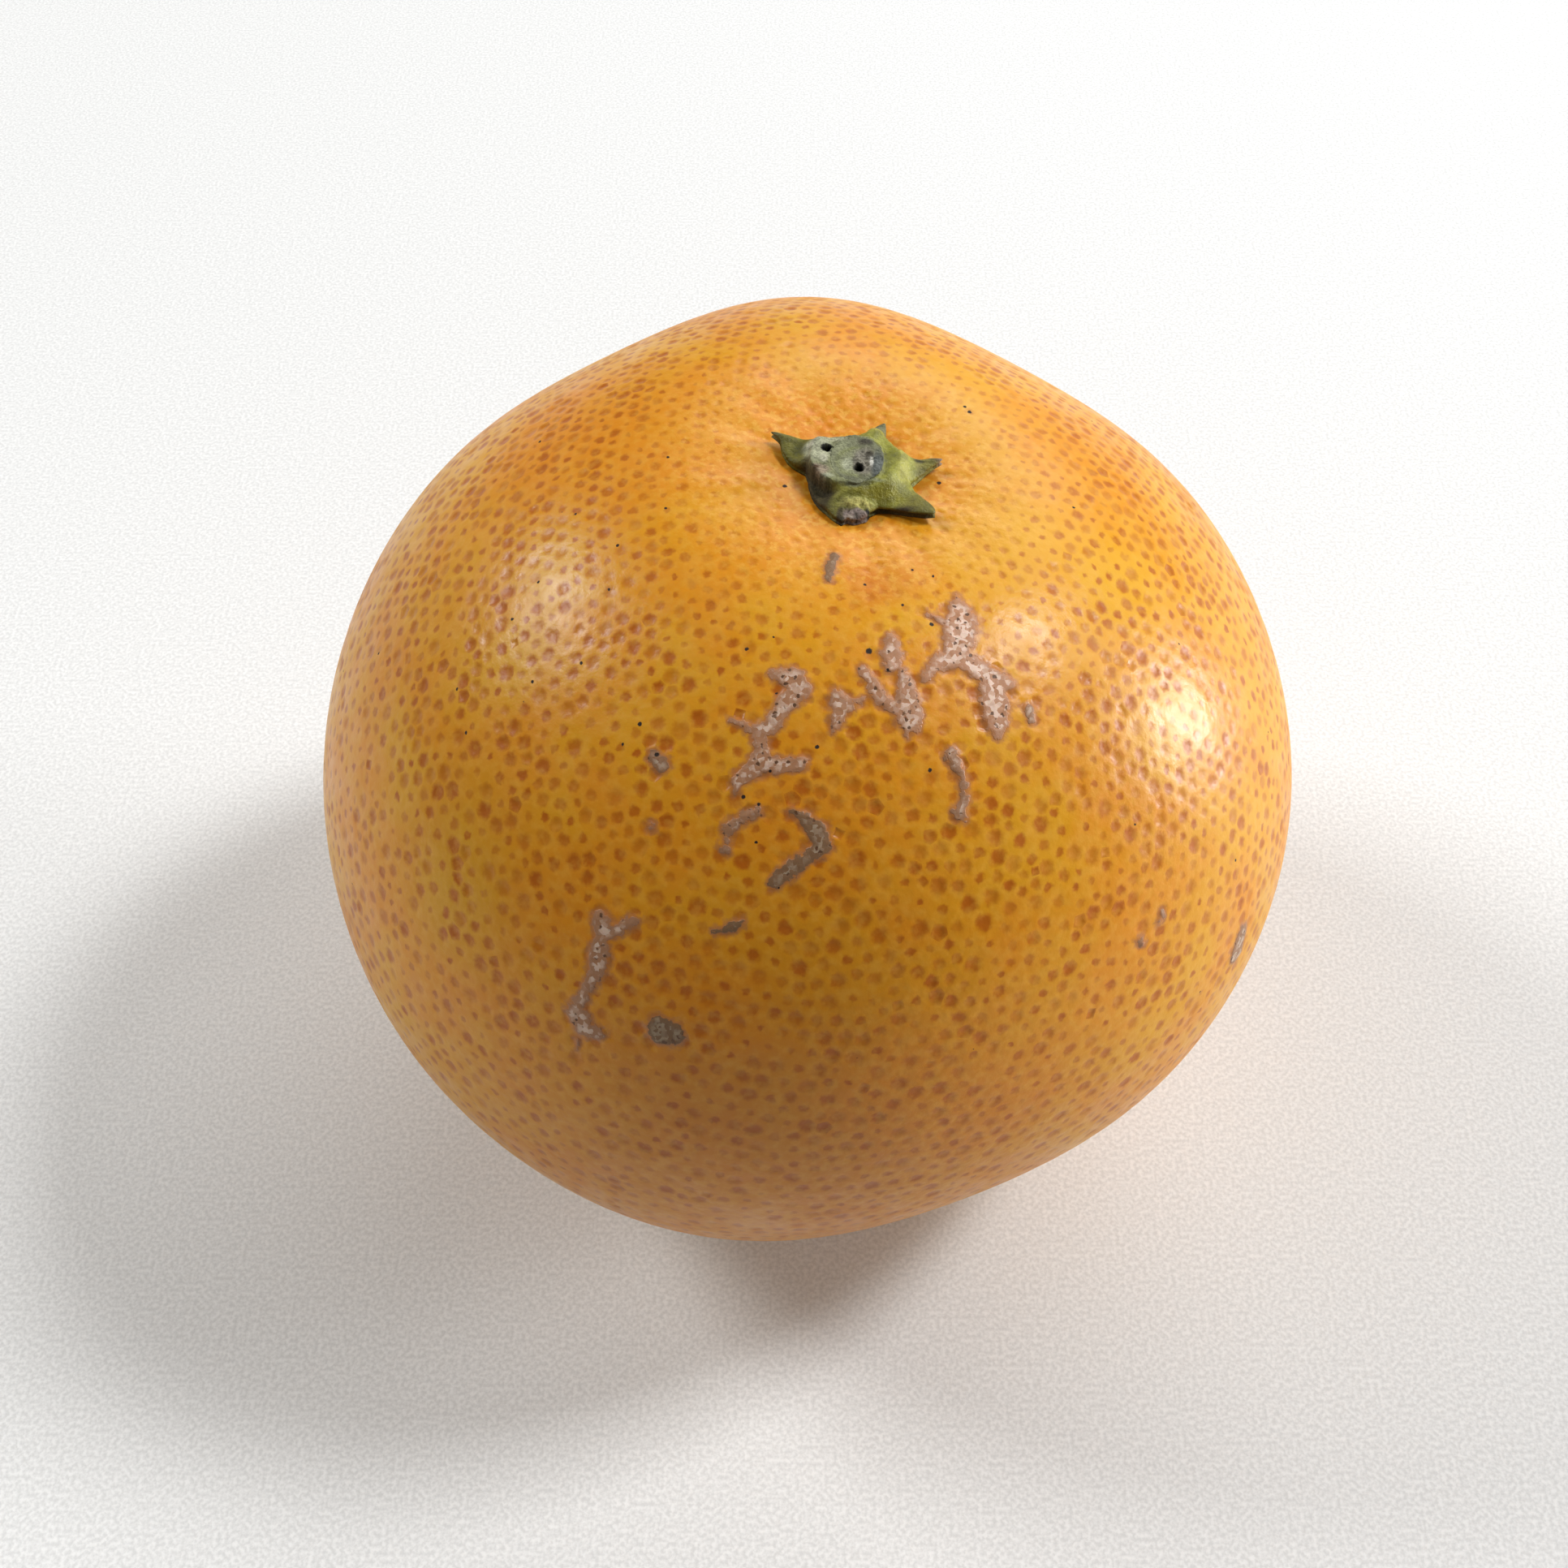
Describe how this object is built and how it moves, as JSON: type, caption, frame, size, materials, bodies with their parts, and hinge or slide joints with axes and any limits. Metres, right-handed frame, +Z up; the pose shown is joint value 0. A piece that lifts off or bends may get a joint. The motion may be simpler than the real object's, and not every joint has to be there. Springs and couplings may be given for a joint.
{
  "type": "mandarin",
  "caption": "Whole ripe mandarin with a lobed, pitted orange peel, a star-shaped green calyx and the stub of its cut stalk, lying on its blossom end.",
  "frame": {"origin": "on the flat spot that the fruit rests on, under the middle of its width and depth", "axes": "+Z up from the blossom end to the calyx, along the fruit's shortest extent; -Y towards the side that the picture shows; +X to the right in the picture"},
  "size_m": [0.0664, 0.0662, 0.0587],
  "materials": {
    "peel": "waxy golden-orange citrus peel with darker sunken oil glands and dry corky scars",
    "calyx": "leathery green, yellow-green on the raised ring, with dry brown torn edges",
    "stalk": "dry, pale grey-green cut end with a crumbly middle"
  },
  "bodies": {
    "root": {"fruit": "peel", "calyx": "calyx", "stalk_stub": "stalk"}
  },
  "joints": []
}
